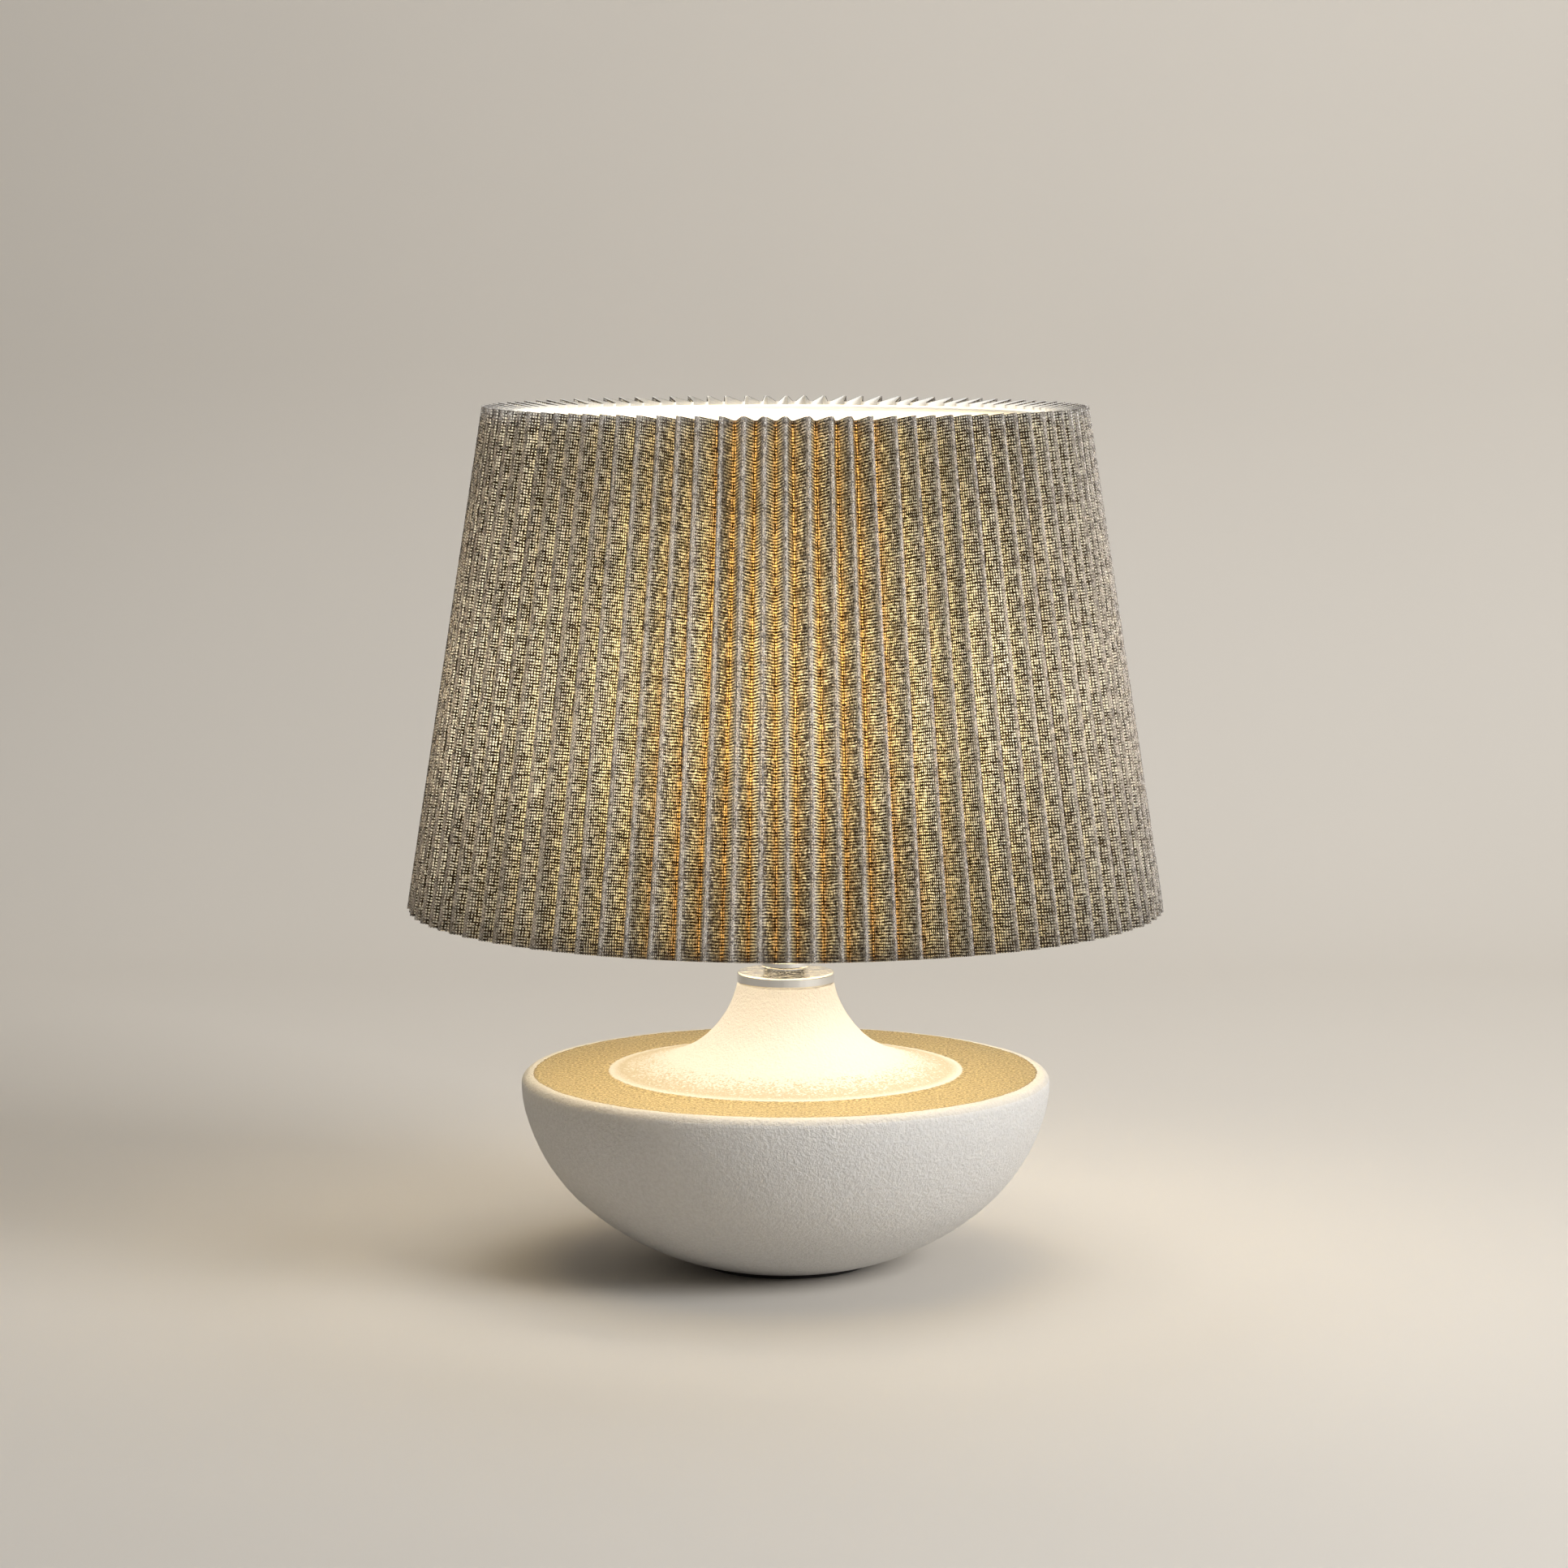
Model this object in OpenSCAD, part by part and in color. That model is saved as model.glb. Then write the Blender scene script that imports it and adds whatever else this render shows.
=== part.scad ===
// Table lamp: a pleated open-weave shade on a round ceramic base with a slim flared neck.
// Millimetres, +Z up, origin on the lamp's axis where the felt pad meets the table.
// The front is -Y and the cable leaves at the back, +Y.

/* [Ceramic base] */
// Radius of the base at its widest
base_r = 157.6; // [155:0.1:160]
// Height of the widest point above the table
base_wide_z = 110.3; // [108:0.1:112]
// Radius that rounds the side of the base over into its flat top
top_round_r = 5.8; // [5.3:0.1:7]
// Radius of the side just below the widest point
shoulder_arc_r = 67; // [64:1:70]
// Angle over which that radius runs
shoulder_arc_deg = 16; // [14:1:18]
// Radius of the belly under the shoulder
belly_arc_r = 113; // [110:1:116]
// Angle over which the belly radius runs
belly_arc_deg = 34; // [32:1:36]
// Radius of the flatter curve that runs in to the foot
foot_arc_r = 166; // [162:1:170]
// Radius of the ceramic at the top of the neck
neck_r = 28.8; // [28:0.1:29]
// Height of the top of the neck
neck_z = 169.5; // [168:0.5:172]
// Radius of the hollow curve of the neck
neck_arc_r = 59; // [57:1:61]
// Lean of the neck from upright at its top
neck_lean_deg = 11.5; // [10:0.5:13]
// Lean where the neck's curve gives way to the wide flare
flare_start_deg = 69.5; // [68:0.5:71]
// Thickness of the ceramic wall
wall = 5; // [4:0.5:5]
// Thickness of the felt pad under the foot
pad_t = 2; // [1.5:0.5:3]
// Angle below level of the cable hole at the back
cable_hole_deg = 52; // [51:1:55]
// Radius of the hole through the cable grommet
cable_r = 3.75; // [3:0.25:4]

/* [Cap and tube] */
// Radius of the round cap on the neck
cap_r = 29.1; // [29:0.1:30]
// Thickness of the cap
cap_h = 6.5; // [6:0.5:7]
// Radius of the ring that stands on the cap
ring_r = 13.5; // [13:0.5:14.5]
// Height of that ring
ring_h = 3.5; // [3:0.5:4]
// Outside radius of the threaded tube
tube_r = 5; // [4.9:0.1:5]
// Radius of the bore of the threaded tube
tube_bore_r = 3.9; // [3.5:0.1:4]

/* [Lampholder] */
// Radius of the lampholder at its bottom
holder_foot_r = 14.6; // [14.4:0.1:15]
// Outside radius of the lampholder's cap
holder_r = 20; // [19.9:0.1:20.5]
// Height of the lampholder's cap
holder_cap_h = 32; // [32:0.5:33]
// Height of the threaded skirt above the cap
skirt_h = 36; // [36:0.5:37]
// Outside radius of the skirt's thread
skirt_thread_r = 19.7; // [19.6:0.05:19.7]
// Inside radius of the lamp thread shell
shell_r = 13.38; // [13.36:0.01:13.39]

/* [Bulb] */
// Widest radius of the bulb
bulb_r = 34; // [30:1:36]
// Height of the bulb over its contact
bulb_len = 138; // [134:1:142]
// Radius of the bulb's screw cap
bulb_cap_r = 13.3; // [13.29:0.01:13.35]

/* [Shade] */
// Radius of the pleat tips at the top
shade_top_r = 178.6; // [175:0.1:182]
// Radius of the pleat tips at the bottom
shade_bottom_r = 225; // [222:0.5:228]
// Height of the pleat tips at the bottom edge
shade_bottom_z = 216; // [214:0.5:217]
// Height of the shade between its top and bottom edges
shade_h = 296.7; // [290:0.1:300]
// Number of pleats, a multiple of four
pleats = 92; // [84:4:96]
// Depth of a pleat, square to the slope of the shade
pleat_depth = 20; // [18:0.5:22]
// Thickness of the pleated cloth
cloth_t = 0.6; // [0.5:0.1:0.8]
// Thickness of the smooth liner inside the pleats
liner_t = 1; // [0.8:0.1:1.2]
// Radius of the wire of the shade's rings and arms
wire_r = 1.6; // [1.5:0.1:1.8]

/* [Hidden] */

$fn = 96;
arc_steps = 24;
joint_gap = 0.05;

// Ceramic base
floor_t = 6;
pad_inset = 0.5;
well_r = 20;
well_depth = 8;
well_wall = 6;
tube_hole_r = tube_r + 1;
base_top_z = base_wide_z + top_round_r;
well_roof_z = pad_t + well_depth;

shoulder_c = [base_r - shoulder_arc_r, base_wide_z];
belly_deg = shoulder_arc_deg + belly_arc_deg;
belly_c = shoulder_c + (shoulder_arc_r - belly_arc_r) * falling(shoulder_arc_deg);
foot_c = belly_c + (belly_arc_r - foot_arc_r) * falling(belly_deg);
neck_c = [neck_r + neck_arc_r * cos(neck_lean_deg), neck_z + neck_arc_r * sin(neck_lean_deg)];
flare_drop = neck_c[1] - neck_arc_r * sin(flare_start_deg) - base_top_z;
flare_arc_r = flare_drop / (1 - sin(flare_start_deg));
flare_c = neck_c + (flare_arc_r - neck_arc_r) * [cos(flare_start_deg), sin(flare_start_deg)];
top_round_c = [base_r - top_round_r, base_wide_z];

// Cable hole and grommet
grommet_flange_r = 7.5;
grommet_flange_t = 2;
grommet_barrel_r = 5;
grommet_barrel_h = 10;
hole_gap = 0.1;
spot_face_depth = 0.5;
grommet_seat = foot_c + (foot_arc_r - spot_face_depth) * falling(cable_hole_deg);

// Cap, ring, tube and nuts
cap_top_z = neck_z + cap_h;
ring_top_z = cap_top_z + ring_h;
edge_round = 1.2;
spigot_r = neck_r - wall - 1;
spigot_wall = 2;
spigot_h = 6;
tube_clear_r = tube_r + 0.1;
tube_bottom_z = pad_t + 1;
holder_plate_t = 3;
locknut_h = 3;
tube_top_z = ring_top_z + holder_plate_t + locknut_h + 2;
washer_r = 16;
washer_t = 1.5;
nut_h = 5;
nut_corner_r = 8.1;

// Lampholder
holder_wall = 2;
holder_flare_z = ring_top_z + 18;
holder_flare_round = 13;
holder_flare_deg = 23;
holder_edge = 0.5;
holder_inner_rise = 4;
cap_rim_z = ring_top_z + holder_cap_h;
core_z = cap_rim_z - 10;
core_r = 16.6;
core_step = 1.6;
core_h = 20;
core_top_z = core_z + core_h;
skirt_top_z = cap_rim_z + skirt_h;
skirt_root_r = skirt_thread_r - 0.7;
skirt_bore_r = 17;
skirt_lip_r = 14.5;
skirt_lip_t = 2;
thread_pitch = 2.5;
thread_turns = 12;
thread_z = cap_rim_z + 3;
// Where a thread's ridge starts, crests, turns down and ends, as parts of its pitch
ridge_start = 0.16;
ridge_crest = 0.4;
shell_t = 0.6;
shell_floor_hole_r = 9;
shell_top_z = skirt_top_z - skirt_lip_t;
terminal_x = 9;
terminal_size = [5, 8, 6];
terminal_screw_r = 2;
terminal_screw_h = 1.8;
wire_hole_r = 1.8;
wire_space_roof = 4;
contact_strip = [6, 14, 0.5];
contact_r = 2.8;
contact_top_z = core_top_z + 3;

// Bulb
bulb_z = contact_top_z + 0.2;
bulb_cap_z = bulb_z + 4;
bulb_cap_h = 22;
bulb_thread_turns = 5;
bulb_thread_pitch = 3.6;
bulb_thread_depth = 0.8;
bulb_cap_chamfer = 1;
bulb_contact_r = 4.8;
bulb_contact_tip_r = 3.5;
bulb_contact_h = 1.5;
insulator_foot_r = 5.5;
insulator_r = 10.5;
bulb_top_z = bulb_z + bulb_len;
bulb_mid_z = bulb_top_z - bulb_r;
bulb_neck_r = 14.5;
bulb_neck_low = [0.6, 8];
bulb_neck_high = [4.4, 22];
// Angle below level at which the bulb's round top hands over to its tapering neck
bulb_hand_over_deg = 38;
glass_t = 1;

// Shade fitting on the lampholder
seat_z = core_top_z + 1;
seat_h = 4;
seat_r = 26;
hub_bore_r = 21;
hub_r = 30;
hub_t = 1.6;
hub_z = seat_z + seat_h + joint_gap;
lock_z = hub_z + hub_t + joint_gap;
lock_flange_h = 2.5;
lock_collar_h = 9;
lock_collar_r = 22.6;
lock_bore_r = skirt_thread_r + 0.08;
lock_ribs = 24;
rib_r = 0.9;

// Shade
slope = (shade_bottom_r - shade_top_r) / shade_h;
lean_deg = atan(slope);
slant = [-sin(lean_deg), cos(lean_deg)];
inward = [-cos(lean_deg), -sin(lean_deg)];
tip_bottom = [shade_bottom_r, shade_bottom_z];
tip_top = [shade_top_r, shade_bottom_z + shade_h];
valley_bottom = tip_bottom + pleat_depth * inward;
valley_top = tip_top + pleat_depth * inward;
// A fold's inner and outer skins lie this far apart, measured down the pleat's depth
fold_t = cloth_t / sin(atan(PI * shade_top_r / pleats / pleat_depth));
liner_gap = 0.3;
liner_short = 2;
liner_foot = valley_bottom + liner_gap * inward + liner_short * slant;
liner_head = valley_top + liner_gap * inward - liner_short * slant;
ring_clear = liner_t + wire_r + joint_gap;
ring_foot = liner_foot + ring_clear * inward + 2 * slant;
ring_head = liner_head + ring_clear * inward - 2 * slant;
arm_count = 3;
arm_first_deg = 30;
arm_start = [hub_r - 1, hub_z + hub_t / 2];

// Unit direction that falls below level by the given angle, as [radius, height]
function falling(deg) = [cos(deg), -sin(deg)];

// Points of a bulging curve, from one angle below level to another
function bulge(centre, r, from_deg, to_deg) =
    [for (i = [0 : arc_steps]) centre + r * falling(from_deg + (to_deg - from_deg) * i / arc_steps)];

// Points of a hollow curve, by the lean from upright
function hollow(centre, r, from_deg, to_deg) =
    [for (i = [0 : arc_steps])
        let (a = from_deg + (to_deg - from_deg) * i / arc_steps)
        centre - r * [cos(a), sin(a)]];

// Outline points of a thread drawn as round ridges
function ridges(root_r, crest_r, z, pitch, turns) = [
    for (i = [0 : turns - 1])
    for (p = [[root_r, ridge_start], [crest_r, ridge_crest],
              [crest_r, 1 - ridge_crest], [root_r, 1 - ridge_start]])
    [p[0], z + (i + p[1]) * pitch]
];

function reversed(list) = [for (i = [len(list) - 1 : -1 : 0]) list[i]];

// Outline of the base from the neck's rim down to height end_z, moved in by the distance inset
function base_side(inset, end_z) = concat(
    hollow(neck_c, neck_arc_r + inset,
        asin(neck_arc_r * sin(neck_lean_deg) / (neck_arc_r + inset)), flare_start_deg),
    hollow(flare_c, flare_arc_r + inset, flare_start_deg, 90),
    bulge(top_round_c, top_round_r - inset, -90, 0),
    bulge(shoulder_c, shoulder_arc_r - inset, 0, shoulder_arc_deg),
    bulge(belly_c, belly_arc_r - inset, shoulder_arc_deg, belly_deg),
    bulge(foot_c, foot_arc_r - inset, belly_deg,
        asin((foot_c[1] - end_z) / (foot_arc_r - inset))));

module washer(r, bore_r, h, z) {
    translate([0, 0, z])
    difference() {
        cylinder(r = r, h = h);
        translate([0, 0, -1])
        cylinder(r = bore_r, h = h + 2);
    }
}

module hex_nut(h, z) {
    translate([0, 0, z])
    difference() {
        cylinder(r = nut_corner_r, h = h, $fn = 6);
        translate([0, 0, -1])
        cylinder(r = tube_clear_r, h = h + 2);
    }
}

// Places its children at the cable hole, with +Z pointing out of the base
module at_cable_hole() {
    translate([0, grommet_seat[0], grommet_seat[1]])
    rotate([-90 - cable_hole_deg, 0, 0])
    children();
}

module ceramic_body() {
    foot_z = pad_t;
    inside = base_side(wall, pad_t + floor_t);
    boss_r = well_r + well_wall;
    color("ivory")
    difference() {
        rotate_extrude($fn = 180)
        polygon(concat(
            base_side(0, foot_z),
            [
                [well_r, foot_z],
                [well_r, well_roof_z],
                [tube_hole_r, well_roof_z],
                [tube_hole_r, well_roof_z + well_wall],
                [boss_r, well_roof_z + well_wall],
                [boss_r, pad_t + floor_t]
            ],
            reversed(inside)));
        at_cable_hole() {
            translate([0, 0, -3 * wall])
            cylinder(r = grommet_barrel_r + hole_gap, h = 4 * wall, $fn = 48);
            cylinder(r = grommet_flange_r + hole_gap, h = wall, $fn = 48);
        }
    }
}

module felt_pad() {
    pad_r = foot_c[0] + sqrt(foot_arc_r * foot_arc_r - pow(foot_c[1] - pad_t, 2)) - pad_inset;
    color("dimgray")
    cylinder(r = pad_r, h = pad_t);
}

module foot_washer() {
    color("silver")
    washer(washer_r, tube_clear_r, washer_t, well_roof_z - washer_t);
}

module foot_nut() {
    color("goldenrod")
    hex_nut(nut_h, well_roof_z - washer_t - nut_h);
}

module threaded_tube() {
    color("silver")
    washer(tube_r, tube_bore_r, tube_top_z - tube_bottom_z, tube_bottom_z);
}

module cable_grommet() {
    color("black")
    at_cable_hole()
    difference() {
        union() {
            cylinder(r = grommet_flange_r, h = grommet_flange_t, $fn = 48);
            translate([0, 0, -grommet_barrel_h])
            cylinder(r = grommet_barrel_r, h = grommet_barrel_h, $fn = 48);
        }
        translate([0, 0, -grommet_barrel_h - 1])
        cylinder(r = cable_r, h = grommet_barrel_h + grommet_flange_t + 2, $fn = 48);
    }
}

module vase_cap() {
    color("silver")
    rotate_extrude()
    polygon(concat(
        [
            [tube_clear_r, cap_top_z],
            [tube_clear_r, neck_z],
            [spigot_r - spigot_wall, neck_z],
            [spigot_r - spigot_wall, neck_z - spigot_h],
            [spigot_r, neck_z - spigot_h],
            [spigot_r, neck_z]
        ],
        reversed(bulge([cap_r - edge_round, neck_z + edge_round], edge_round, 0, 90)),
        reversed(bulge([cap_r - edge_round, cap_top_z - edge_round], edge_round, -90, 0))));
}

module neck_ring() {
    color("silver")
    rotate_extrude()
    polygon(concat(
        [
            [tube_clear_r, ring_top_z],
            [tube_clear_r, cap_top_z],
            [ring_r, cap_top_z]
        ],
        reversed(bulge([ring_r - edge_round / 2, ring_top_z - edge_round / 2], edge_round / 2, -90, 0))));
}

module tube_locknut() {
    color("goldenrod")
    hex_nut(locknut_h, ring_top_z + holder_plate_t);
}

module holder_cap() {
    step_r = core_r - core_step;
    plate_top_z = ring_top_z + holder_plate_t;
    flare_c = [holder_r - holder_flare_round, holder_flare_z];
    color("gainsboro")
    rotate_extrude()
    polygon(concat(
        [
            [tube_clear_r, ring_top_z],
            [holder_foot_r - holder_edge, ring_top_z],
            [holder_foot_r, ring_top_z + holder_edge],
            [holder_foot_r, plate_top_z]
        ],
        bulge(flare_c, holder_flare_round, holder_flare_deg, 0),
        [
            [holder_r, cap_rim_z],
            [holder_r - holder_wall, cap_rim_z],
            [holder_r - holder_wall, core_z],
            [step_r, core_z],
            [holder_foot_r - holder_wall, plate_top_z + holder_inner_rise],
            [holder_foot_r - holder_wall, plate_top_z],
            [tube_clear_r, plate_top_z]
        ]));
}

module holder_skirt() {
    color("gainsboro")
    rotate_extrude()
    polygon(concat(
        [
            [skirt_bore_r, cap_rim_z],
            [skirt_root_r, cap_rim_z]
        ],
        ridges(skirt_root_r, skirt_thread_r, thread_z, thread_pitch, thread_turns),
        [
            [skirt_root_r, skirt_top_z],
            [skirt_lip_r, skirt_top_z],
            [skirt_lip_r, skirt_top_z - skirt_lip_t],
            [skirt_bore_r, skirt_top_z - skirt_lip_t]
        ]));
}

module holder_core() {
    color("beige")
    difference() {
        translate([0, 0, core_z])
        cylinder(r = core_r, h = core_h);
        translate([0, 0, core_z - 1])
        cylinder(r = tube_bore_r, h = core_h - wire_space_roof + 1);
        for (side = [-1, 1])
            translate([side * terminal_x, 0, core_z - 1])
            cylinder(r = wire_hole_r, h = core_h + 2, $fn = 32);
    }
}

module terminal_blocks() {
    color("gold")
    for (side = [-1, 1])
        translate([side * terminal_x, 0, core_z - terminal_size[2] / 2])
        cube(terminal_size, center = true);
}

module terminal_screws() {
    color("silver")
    for (side = [-1, 1])
        translate([side * terminal_x, -terminal_size[1] / 2, core_z - terminal_size[2] / 2])
        rotate([90, 0, 0])
        cylinder(r = terminal_screw_r, h = terminal_screw_h, $fn = 32);
}

module centre_contact() {
    color("gold")
    union() {
        translate([-contact_strip[0] / 2, -contact_strip[1] / 2, core_top_z])
        cube(contact_strip);
        translate([0, 0, core_top_z])
        cylinder(r = contact_r, h = contact_top_z - core_top_z, $fn = 48);
    }
}

module thread_shell() {
    color("gold")
    difference() {
        translate([0, 0, core_top_z])
        cylinder(r = shell_r + shell_t, h = shell_top_z - core_top_z);
        translate([0, 0, core_top_z + shell_t])
        cylinder(r = shell_r, h = shell_top_z - core_top_z);
        translate([0, 0, core_top_z - 1])
        cylinder(r = shell_floor_hole_r, h = 3);
    }
}

module shade_seat_ring() {
    color("gainsboro")
    washer(seat_r, skirt_thread_r, seat_h, seat_z);
}

module shade_lock_ring() {
    color("gainsboro")
    difference() {
        union() {
            translate([0, 0, lock_z])
            cylinder(r = seat_r, h = lock_flange_h);
            translate([0, 0, lock_z])
            cylinder(r = lock_collar_r, h = lock_flange_h + lock_collar_h);
            for (i = [0 : lock_ribs - 1])
                rotate([0, 0, i * 360 / lock_ribs])
                translate([lock_collar_r, 0, lock_z])
                cylinder(r = rib_r, h = lock_flange_h + lock_collar_h, $fn = 24);
        }
        translate([0, 0, lock_z - 1])
        cylinder(r = lock_bore_r, h = lock_flange_h + lock_collar_h + 2);
    }
}

module bulb_contact() {
    color("silver")
    translate([0, 0, bulb_z])
    cylinder(r1 = bulb_contact_tip_r, r2 = bulb_contact_r, h = bulb_contact_h);
}

module bulb_insulator() {
    color("black")
    translate([0, 0, bulb_z + bulb_contact_h])
    cylinder(r1 = insulator_foot_r, r2 = insulator_r, h = bulb_cap_z - bulb_z - bulb_contact_h);
}

module bulb_cap() {
    root_r = bulb_cap_r - bulb_thread_depth;
    thread_foot_z = bulb_cap_z + bulb_cap_chamfer;
    color("silver")
    rotate_extrude()
    polygon(concat(
        [[0, bulb_cap_z], [root_r - bulb_cap_chamfer, bulb_cap_z], [root_r, thread_foot_z]],
        ridges(root_r, bulb_cap_r, thread_foot_z, bulb_thread_pitch, bulb_thread_turns),
        [[root_r, bulb_cap_z + bulb_cap_h], [0, bulb_cap_z + bulb_cap_h]]));
}

module bulb_glass() {
    foot_z = bulb_cap_z + bulb_cap_h;
    centre = [0, bulb_mid_z];
    function skin(inset) = concat(
        [
            for (offset = [[0, 0], bulb_neck_low, bulb_neck_high])
            [bulb_neck_r - inset, foot_z] + offset
        ],
        reversed(bulge(centre, bulb_r - inset, -90, bulb_hand_over_deg)));
    color("white")
    rotate_extrude()
    polygon(concat(skin(0), reversed(skin(glass_t))));
}

module carrier_hub() {
    color("white")
    washer(hub_r, hub_bore_r, hub_t, hub_z);
}

// A straight round wire between two points of the half plane [radius, height]
module radial_wire(from, to) {
    run = to - from;
    translate([from[0], 0, from[1]])
    rotate([0, atan2(run[0], run[1]), 0])
    cylinder(r = wire_r, h = norm(run), $fn = 24);
}

module carrier_arms() {
    color("white")
    for (i = [0 : arm_count - 1])
        rotate([0, 0, arm_first_deg + i * 360 / arm_count])
        radial_wire(arm_start, ring_foot);
}

module wire_ring(place) {
    color("white")
    rotate_extrude($fn = 180)
    translate(place)
    circle(r = wire_r, $fn = 32);
}

module wire_ring_bottom() {
    wire_ring(ring_foot);
}

module wire_ring_top() {
    wire_ring(ring_head);
}

module shade_liner() {
    color("snow")
    rotate_extrude($fn = 180)
    polygon([
        liner_foot,
        liner_head,
        liner_head + liner_t * inward,
        liner_foot + liner_t * inward
    ]);
}

// Corner k of the folded cloth at one level, on its outer (depth 0) or inner (depth fold_t) skin
function fold_point(k, tip, valley, depth) =
    let (place = (k % 2 == 0 ? tip : valley - fold_t * inward) + depth * inward)
    let (a = k * 180 / pleats)
    [place[0] * cos(a), place[0] * sin(a), place[1]];

module pleated_cover() {
    n = 2 * pleats;
    loops = [
        for (k = [0 : n - 1]) fold_point(k, tip_bottom, valley_bottom, 0),
        for (k = [0 : n - 1]) fold_point(k, tip_top, valley_top, 0),
        for (k = [0 : n - 1]) fold_point(k, tip_top, valley_top, fold_t),
        for (k = [0 : n - 1]) fold_point(k, tip_bottom, valley_bottom, fold_t)
    ];
    faces = [
        for (level = [0 : 3])
        for (k = [0 : n - 1])
        let (j = (k + 1) % n)
        let (up = (level + 1) % 4)
        for (half = [0, 1])
        half == 0 ? [level * n + k, up * n + j, level * n + j]
                  : [level * n + k, up * n + k, up * n + j]
    ];
    color("tan")
    polyhedron(points = loops, faces = faces, convexity = 10);
}

ceramic_body();
felt_pad();
foot_washer();
foot_nut();
threaded_tube();
cable_grommet();
vase_cap();
neck_ring();
tube_locknut();
holder_cap();
holder_skirt();
holder_core();
terminal_blocks();
terminal_screws();
centre_contact();
thread_shell();
shade_seat_ring();
shade_lock_ring();
bulb_contact();
bulb_insulator();
bulb_cap();
bulb_glass();
carrier_hub();
carrier_arms();
wire_ring_bottom();
wire_ring_top();
shade_liner();
pleated_cover();
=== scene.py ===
"""Looks of a lit table lamp: a pleated open-weave shade on a sandy ceramic base.

Metres, +Z up, front -Y, in the CAD model's own frame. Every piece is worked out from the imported
frame or from the few driving dimensions below, which repeat those of the CAD source.
"""

import math
import random

import bpy
import numpy as np
from mathutils import Matrix, Vector


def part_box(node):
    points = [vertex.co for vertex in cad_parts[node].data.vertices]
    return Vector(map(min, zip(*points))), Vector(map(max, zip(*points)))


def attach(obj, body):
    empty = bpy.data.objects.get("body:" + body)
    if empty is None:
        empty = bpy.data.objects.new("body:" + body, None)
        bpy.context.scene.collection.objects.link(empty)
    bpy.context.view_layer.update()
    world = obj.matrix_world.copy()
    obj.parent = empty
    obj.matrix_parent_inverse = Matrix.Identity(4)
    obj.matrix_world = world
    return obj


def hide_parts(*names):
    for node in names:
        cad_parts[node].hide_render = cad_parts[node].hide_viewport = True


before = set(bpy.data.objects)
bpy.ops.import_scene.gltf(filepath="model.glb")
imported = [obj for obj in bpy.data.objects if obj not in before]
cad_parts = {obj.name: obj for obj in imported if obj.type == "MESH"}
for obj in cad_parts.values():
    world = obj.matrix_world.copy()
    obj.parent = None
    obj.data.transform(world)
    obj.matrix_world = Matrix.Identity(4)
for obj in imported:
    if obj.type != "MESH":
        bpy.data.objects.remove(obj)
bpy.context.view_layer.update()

MM = 0.001

# Ceramic base, as in the CAD source
BASE_R = 157.6 * MM
BASE_WIDE_Z = 110.3 * MM
TOP_ROUND_R = 5.8 * MM
SHOULDER_ARC_R = 67 * MM
SHOULDER_ARC_DEG = 16
BELLY_ARC_R = 113 * MM
BELLY_ARC_DEG = 34
FOOT_ARC_R = 166 * MM
NECK_R = 28.8 * MM
NECK_Z = 169.5 * MM
NECK_ARC_R = 59 * MM
NECK_LEAN_DEG = 11.5
FLARE_START_DEG = 69.5
WALL = 5 * MM
PAD_T = 2 * MM
WELL_R = 20 * MM
WELL_DEPTH = 8 * MM
WELL_WALL = 6 * MM
FLOOR_T = 6 * MM
TUBE_HOLE_R = 6 * MM
CABLE_HOLE_DEG = 52
CABLE_BARREL_R = 5.1 * MM
CABLE_FLANGE_R = 7.6 * MM

# Paint, painted shadow and painted glints on the flat top: the radii between which each edge fades
BAND_OUTER_R = (150.2 * MM, 150.8 * MM)
BAND_EDGE_SHADOW_R = (149.3 * MM, 150.3 * MM)
BAND_INNER_R = (105.2 * MM, 106.2 * MM)
BARE_RING_R = (98.5 * MM, 103.5 * MM)
SPECKLES_R = (68 * MM, 103 * MM)
GLINTS_R = (110 * MM, 150 * MM)
NECK_WHITE_R = (45 * MM, 75 * MM)

# Pleated cover: the weave outside and its backing inside
PLEATS = 92
CLOTH_LAYERS_APART = 0.35 * MM
LINER_GAP = 0.15 * MM
FOLD_ROUND = 1.1 * MM
FOLD_STEPS = 4
FOLD_STRAY = 0.75 * MM
FOLD_SHORT = 0.5 * MM
VALLEY_SHORT_SHARE = 0.25
WEAVE_PITCH = 1.73 * MM
YARN_STRAY = 1.1 * MM

# Half widths of thin and thick yarn, as shares of the weave's pitch
WARP_HALF_WIDTHS = (0.07, 0.29)
WEFT_HALF_WIDTHS = (0.11, 0.35)

# Shares of light that pass through each sheet
YARN_PASSES = 0.05
BACKING_PASSES = 0.62
BACKING_RIM_PASSES = 0.12
LINER_PASSES = 0.16

# Light inside the shade: the bulb, and the liner's painted glow
BULB_STRENGTH = 14.0
LINER_GLOW_OUTSIDE = 7.2
LINER_GLOW_INSIDE = 0.17


# ---------------------------------------------------------------- camera, lights and floor


def make_camera():
    """A long lens a little above the shade, looking slightly down."""
    pitch = math.radians(6.70)
    distance = 2.7169
    aim_z = 0.28836
    data = bpy.data.cameras.new("camera")
    data.sensor_width = 36
    data.lens = 105.05
    data.clip_end = 50
    camera = bpy.data.objects.new("camera", data)
    camera.location = (-0.001, -distance * math.cos(pitch), aim_z + distance * math.sin(pitch))
    camera.rotation_euler = (math.pi / 2 - pitch, 0, 0)
    bpy.context.scene.collection.objects.link(camera)
    bpy.context.scene.camera = camera


def area_light(name, place, size, power, colour, aim=(0, 0, 0.25)):
    """A square soft light at place that looks at aim."""
    data = bpy.data.lights.new(name, "AREA")
    data.shape = "SQUARE"
    data.size = size
    data.energy = power
    data.color = colour
    light = bpy.data.objects.new(name, data)
    light.location = place
    light.rotation_euler = (Vector(aim) - Vector(place)).to_track_quat("-Z", "Y").to_euler()
    bpy.context.scene.collection.objects.link(light)


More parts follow.
